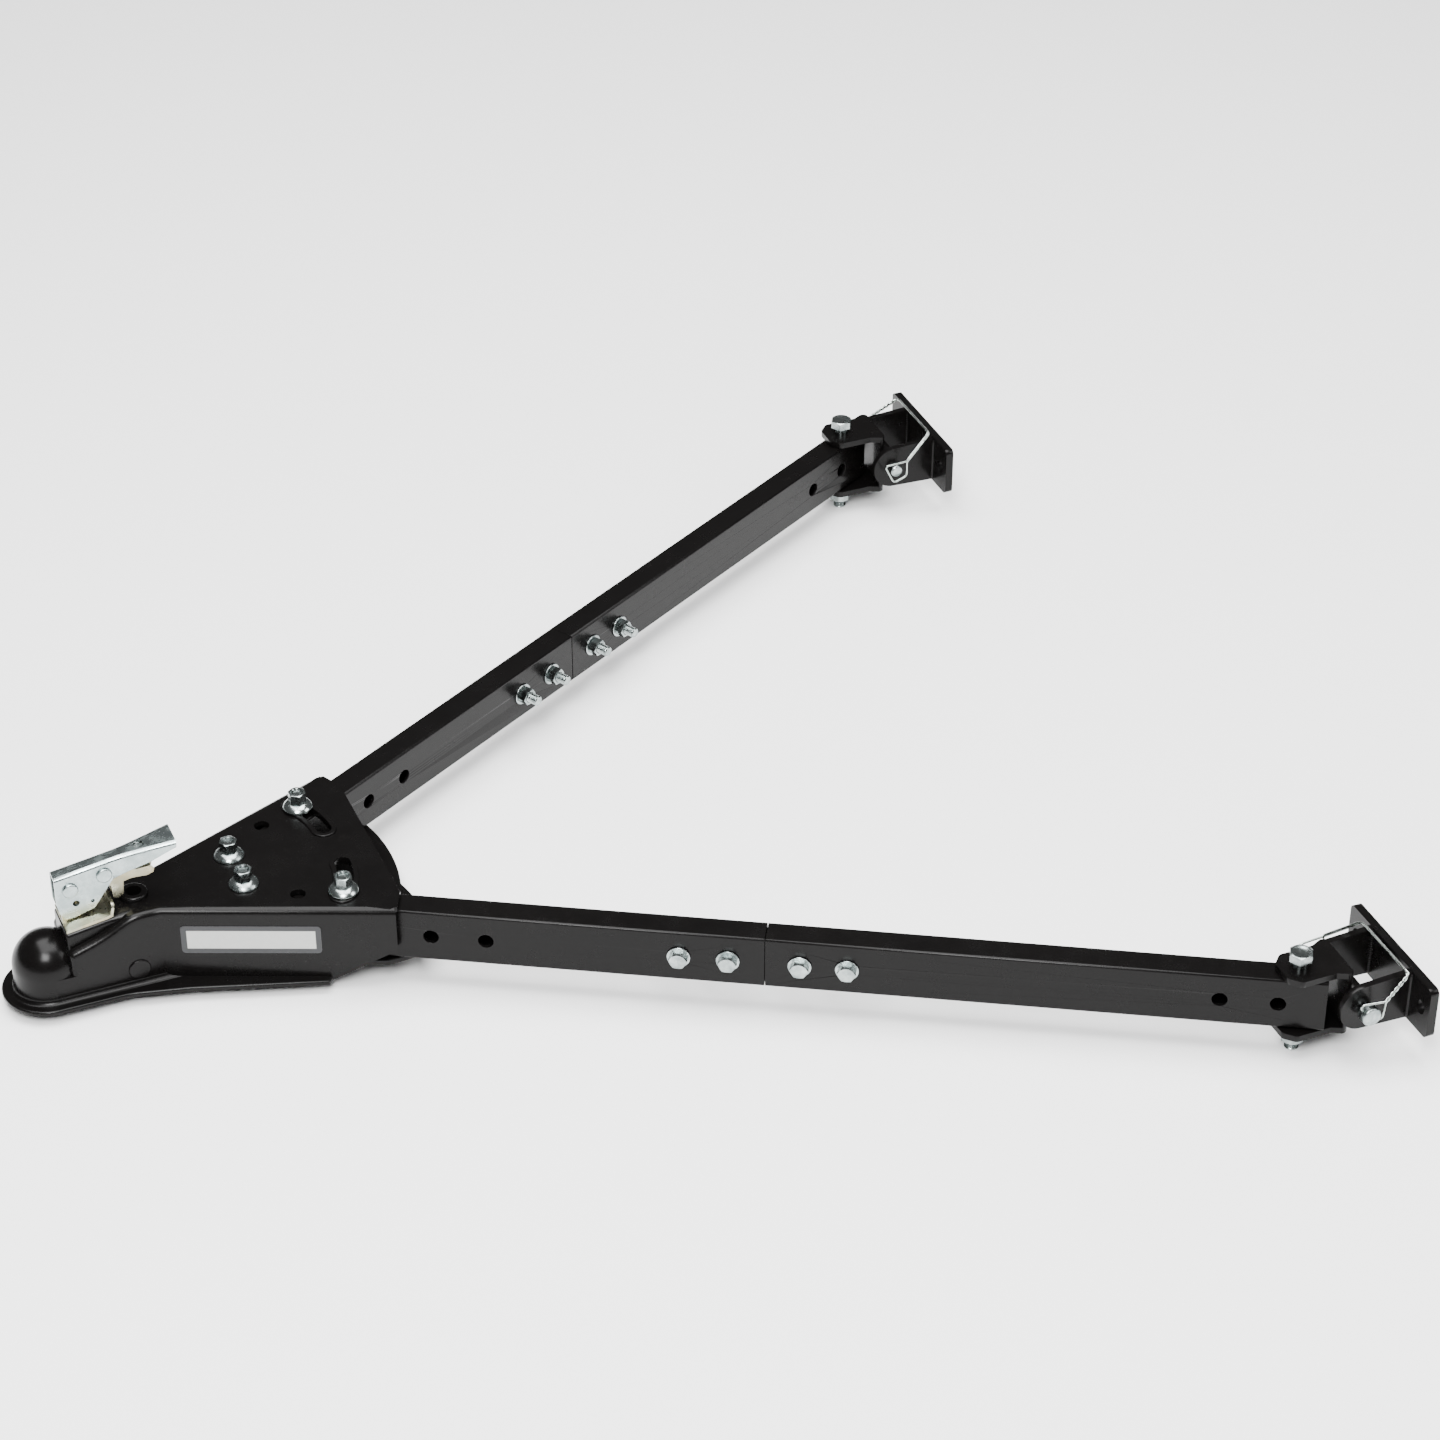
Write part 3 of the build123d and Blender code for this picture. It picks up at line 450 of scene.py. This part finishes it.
def fasteners():
    for word, side in SIDES.items():
        run = joint_at(f"{word}_bracket_swivel") - joint_at(f"{word}_arm_swing")
        outward = UP.cross(run.normalized()) * side
        rebuild(f"{word}_splice_bolts", outward, lambda n: bolt_rings(n, SMALL, SPLICE_THREAD))
        rebuild(f"{word}_splice_nuts", outward, lambda n: nut_rings(n, SMALL), True)
        rebuild(f"{word}_slot_bolt", -UP, lambda n: bolt_rings(n, SMALL, DECK_THREAD))
        rebuild(f"{word}_slot_nut", UP, lambda n: nut_rings(n, SMALL), True)
        rebuild(f"{word}_clevis_bolt", UP, lambda n: bolt_rings(n, LARGE, CLEVIS_THREAD, CLEVIS_DISH))
        rebuild(f"{word}_clevis_nut", UP, lambda n: nut_rings(n, LARGE), True)
    rebuild("pivot_bolts", -UP, lambda n: bolt_rings(n, SMALL, DECK_THREAD))
    rebuild("pivot_nuts", UP, lambda n: nut_rings(n, SMALL), True)


def swept(path, radius, sides, ripple=None):
    """Rings of a round bar along a path; ripple(i) scales its radius."""
    rings = []
    normal = (path[1] - path[0]).normalized().orthogonal().normalized()
    for i, point in enumerate(path):
        ahead = (path[min(i + 1, len(path) - 1)] - path[max(i - 1, 0)]).normalized()
        normal = (normal - ahead * normal.dot(ahead)).normalized()
        other = ahead.cross(normal)
        size = radius * (ripple(i) if ripple else 1.0)
        rings.append([point + (normal * cos(tau * k / sides) + other * sin(tau * k / sides)) * size
                      for k in range(sides)])
    return rings


def rounded(points, radius, step):
    """Points evenly along straight runs whose corners are rounded."""
    line = [points[0]]
    for before, corner, after in zip(points, points[1:], points[2:]):
        a, b = before - corner, after - corner
        reach = min(radius, a.length * 0.45, b.length * 0.45)
        start, end = corner + a.normalized() * reach, corner + b.normalized() * reach
        line += [start.lerp(corner, k / 6).lerp(corner.lerp(end, k / 6), k / 6) for k in range(7)]
    line.append(points[-1])
    even, carry = [line[0]], 0.0
    for a, b in zip(line, line[1:]):
        length = (b - a).length
        at = step - carry
        while at < length:
            even.append(a.lerp(b, at / length))
            at += step
        carry = length - (at - step)
    even.append(line[-1])
    return even


def wire_clip(word, side):
    """One wire: a leg in the pin's head, a strand twisted with its return, a loop round the pin's tail."""
    reach, first, second = CLIP_SET[word]
    along = joint_axis(f"{word}_clip_swing")
    along = along if along.z < 0 else -along
    up = Vector((-along.z, 0, along.x))
    inward = Vector((0, -side, 0))
    head = joint_at(f"{word}_clip_swing")

    def at(u, v, y):
        return head + (up * u + along * v + inward * y) * MM

    corners = [at(*CLIP_START), at(reach, 0, first), at(reach, 0, second), at(*CLIP_LOOP[0], CLIP_TAIL)]
    centre = rounded(corners, WIRE_BEND * MM, WIRE_STEP)
    length = len(centre) * WIRE_STEP / MM
    strands = ([], [])
    for i, point in enumerate(centre):
        share = i / (len(centre) - 1)
        run = (centre[min(i + 1, len(centre) - 1)] - centre[max(i - 1, 0)]).normalized()
        flat = (along - run * along.dot(run)).normalized()
        twist = max(0.0, TWIST_UNTIL - share) * length / TWIST_PITCH * tau
        offset = (flat * cos(twist) + run.cross(flat) * sin(twist)) * WIRE_R * MM
        strands[0].append(point + offset)
        strands[1].append(point - offset)
    legs = [rounded([at(u, end * v, 0) for u, v in CLIP_LEG] + [strand[0]], LEG_BEND * MM, WIRE_STEP)
            for end, strand in zip((1, -1), strands)]
    turns = [at(u, v, CLIP_TAIL) for u, v in CLIP_LOOP[1:-1]]
    loop = rounded([strands[0][-1]] + turns + [strands[1][-1]], LOOP_BEND * MM, WIRE_STEP)
    path = legs[0] + strands[0][1:] + loop[1:] + strands[1][-2::-1] + legs[1][-2::-1]
    path = rounded(path[::4] + [path[-1]], SMOOTHING * MM, WIRE_STEP)
    rings = swept(path, WIRE_R * MM, 12)
    piece(f"{word}_clip_wire", rings, f"{word}_clip", "spring_steel", [f"{word}_wire_clip"], sharp=60)


def trigger_spring():
    """Torsion spring round the trigger's rivet."""
    low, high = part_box("trigger_spring")
    centre = (low + high) / 2
    half = (high.y - low.y) / 2 - SPRING_WIRE
    steps = SPRING_TURNS * 30
    path = []
    for i in range(steps + 1):
        angle = tau * SPRING_TURNS * i / steps
        x, z = SPRING_COIL * cos(angle), SPRING_COIL * sin(angle)
        path.append(centre + Vector((x, half * (2 * i / steps - 1), z)))
    rings = swept(path, SPRING_WIRE, 10)
    piece("trigger_spring_coil", rings, "lever", "spring_steel", ["trigger_spring"], sharp=60)


def bead(name, start, end, radius, body):
    """A weld bead: a round fillet with the ripples of its passes."""
    count = max(12, int((end - start).length / BEAD_STEP))
    path = [start.lerp(end, i / count) for i in range(count + 1)]

    def ripple(i):
        taper = min(1.0, (i + 1) / 5, (count + 1 - i) / 5)
        return (0.86 + 0.14 * abs(sin(i * 0.85))) * (0.55 + 0.45 * taper)

    piece(name, swept(path, radius, 12, ripple), body, "powder_coat", sharp=70)


def welds():
    for word in SIDES:
        low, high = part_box(f"{word}_mount_bracket")
        y_mid = (low.y + high.y) / 2
        face = high.x - CHEEK_FACE
        for index, offset in enumerate(CHEEK_OFFSETS):
            foot = Vector((face, y_mid + offset, low.z + CHEEK_END))
            top = Vector((face, y_mid + offset, high.z - CHEEK_END))
            bead(f"{word}_cheek_weld_{index + 1}", foot, top, CHEEK_BEAD, f"{word}_foot")
        pin = joint_at(f"{word}_bracket_tilt")
        for index, up in enumerate((-1, 1)):
            at = Vector((pin.x - BARREL_BACK, y_mid - BARREL_HALF, pin.z + up * BARREL_UP))
            end = at + Vector((0, 2 * BARREL_HALF, 0))
            bead(f"{word}_barrel_weld_{index + 1}", at, end, BARREL_BEAD, f"{word}_swivel")


def clamp_stud():
    """The stud and its nut as one turned form, tip at 0."""
    node = "clamp_stud"
    low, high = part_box(node)
    length = high.z - low.z
    seat_z = length - STUD_END
    nut_top = seat_z + STUD_NUT
    radius = STUD["radius"]
    rings = [circle(radius * 0.6, 0), circle(radius * 0.85, 0)]
    rings += thread_rings(radius, STUD["pitch"], 0.0005, seat_z - 0.0004)
    rings += [circle(radius, seat_z - 0.0002)]
    rings += hex_rings(STUD["flats"], seat_z, nut_top, True, True)
    rings += [circle(radius, nut_top)]
    rings += thread_rings(radius, STUD["pitch"], nut_top + 0.0002, length - 0.0006)
    rings += [circle(radius * 0.85, length), circle(radius * 0.6, length)]
    place = Matrix.Translation(Vector(((low.x + high.x) / 2, 0, low.z)))
    piece("clamp_stud_threaded", placed(rings, place), "stud", SLOTS[node], [node], sharp=28)


SHARP_ANGLE = 32  # degrees between faces from which an edge is softened
WELD_REACH = 0.00001


def soften(node, width):
    """Round a CAD node's sharp edges a little, without moving its own vertices."""
    obj = NODES[node]
    weld = obj.modifiers.new("weld", "WELD")
    weld.merge_threshold = WELD_REACH
    bevel = obj.modifiers.new("bevel", "BEVEL")
    bevel.width = width
    bevel.segments = 2
    bevel.limit_method = "ANGLE"
    bevel.angle_limit = radians(SHARP_ANGLE)
    bevel.use_clamp_overlap = True
    bevel.harden_normals = False


# Widths of the softened edges, in metres: on each side, then on the head.
SOFT = {
    "front_tube": 0.0004, "rear_tube": 0.0004, "yoke": 0.0010, "mount_bracket": 0.0010,
    "hitch_pin": 0.0003, "slot_domed_washer": 0.0003, "slot_washer": 0.0002,
    "splice_washers": 0.0002, "clevis_washer": 0.0003,
}
SOFT_HEAD = {
    "coupler_shell": 0.0010, "head_floor_plate": 0.0008, "latch_bracket": 0.0006, "latch_lever": 0.0005,
    "latch_trigger": 0.0005, "pivot_domed_washers": 0.0003, "pivot_washers": 0.0002,
}

for node, obj in NODES.items():
    obj.data.materials.clear()
    obj.data.materials.append(MATERIALS[SLOTS[node]])
for node, width in SOFT_HEAD.items():
    soften(node, width)
for word in SIDES:
    for kind, width in SOFT.items():
        soften(f"{word}_{kind}", width)

fasteners()
clamp_stud()
trigger_spring()
welds()
for word, side in SIDES.items():
    wire_clip(word, side)


# ---------------------------------------------------------------- studio

WORLD = 0.16
FLOOR = (0.90, 0.90, 0.90)
FLOOR_HALF = 14
# Name, place, width and power of each area light. All point at the origin.
LIGHTS = (
    ("key", (-1.1, -2.0, 2.6), 1.2, 190),
    ("top", (0.0, 0.1, 3.4), 3.2, 400),
    ("fill", (2.6, -1.6, 2.2), 1.6, 60),
)


def studio():
    size = FLOOR_HALF
    square = [(-size, -size, 0), (size, -size, 0), (size, size, 0), (-size, size, 0)]
    mesh = bpy.data.meshes.new("floor")
    mesh.from_pydata(square, [], [(0, 1, 2, 3)])
    ground = bpy.data.objects.new("floor", mesh)
    bpy.context.scene.collection.objects.link(ground)
    t = Tree("pale_floor")
    t.set(Base_Color=t.mix(t.noise(3, 3.0), FLOOR, tuple(c * 1.02 for c in FLOOR)), Roughness=0.9)
    mesh.materials.append(t.material)
    world = bpy.data.worlds.new("studio")
    world.use_nodes = True
    world.node_tree.nodes["Background"].inputs["Color"].default_value = (1, 1, 1, 1)
    world.node_tree.nodes["Background"].inputs["Strength"].default_value = WORLD
    bpy.context.scene.world = world
    for name, at, width, power in LIGHTS:
        light = bpy.data.lights.new(name, "AREA")
        light.size = width
        light.energy = power
        lamp = bpy.data.objects.new(name, light)
        lamp.location = at
        lamp.rotation_mode = "QUATERNION"
        lamp.rotation_quaternion = (-Vector(at)).to_track_quat("-Z", "Y")
        bpy.context.scene.collection.objects.link(lamp)


def camera():
    data = bpy.data.cameras.new("camera")
    data.lens = CAMERA_LENS
    data.sensor_width = 36
    data.clip_start, data.clip_end = 0.05, 60
    cam = bpy.data.objects.new("camera", data)
    a, e = radians(CAMERA_AZIMUTH), radians(CAMERA_ELEVATION)
    back = Vector((sin(a) * cos(e), -cos(a) * cos(e), sin(e)))
    cam.location = CAMERA_AT
    cam.rotation_mode = "QUATERNION"
    cam.rotation_quaternion = (-back).to_track_quat("-Z", "Y")
    bpy.context.scene.collection.objects.link(cam)
    bpy.context.scene.camera = cam


studio()
camera()


# ---------------------------------------------------------------- a box's corners as lists

def corners(box):
    return [list(corner) for corner in box]
